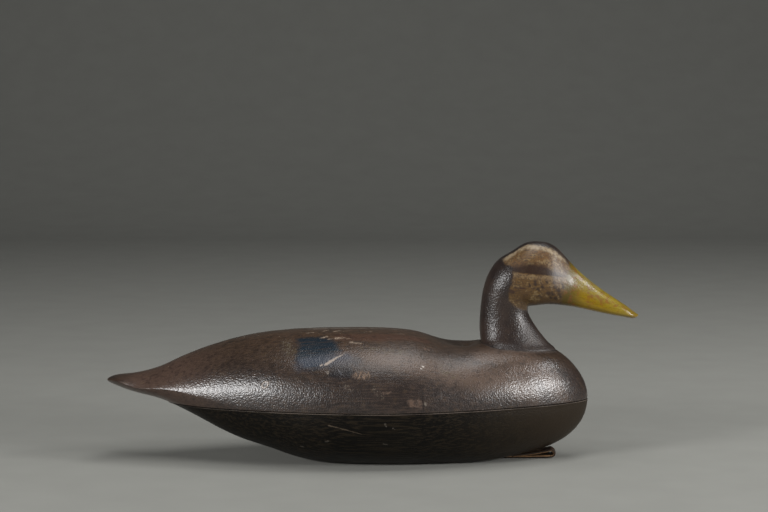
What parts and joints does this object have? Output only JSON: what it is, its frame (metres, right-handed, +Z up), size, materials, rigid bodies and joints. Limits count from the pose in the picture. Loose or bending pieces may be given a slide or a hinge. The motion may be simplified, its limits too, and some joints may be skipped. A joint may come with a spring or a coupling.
{
  "type": "black duck decoy",
  "caption": "Carved and painted wooden duck decoy with a paddle tail, a planed bottom, a raised head with a long bill, and a leather line tie under the breast.",
  "frame": {"origin": "on the surface that the decoy stands on, under the middle of its bounding box", "axes": "+X towards the bill, +Y to the decoy's left side, +Z up"},
  "size_m": [0.4515, 0.1556, 0.1845],
  "materials": {
    "body_paint": "old dark brown oil paint on carved wood, satin, stippled, with a worn blue wing patch",
    "lower_paint": "old brown-black oil paint on carved wood, satin, with brush streaks and scratches",
    "head_paint": "buff and brown streaked paint with dark crown and eye stripe, and a yellow-olive painted bill",
    "leather": "old dark brown strap leather, dry and creased"
  },
  "bodies": {
    "root": {"body_upper": "body_paint", "body_lower": "lower_paint", "head": "head_paint", "line_tie": "leather"}
  },
  "joints": []
}
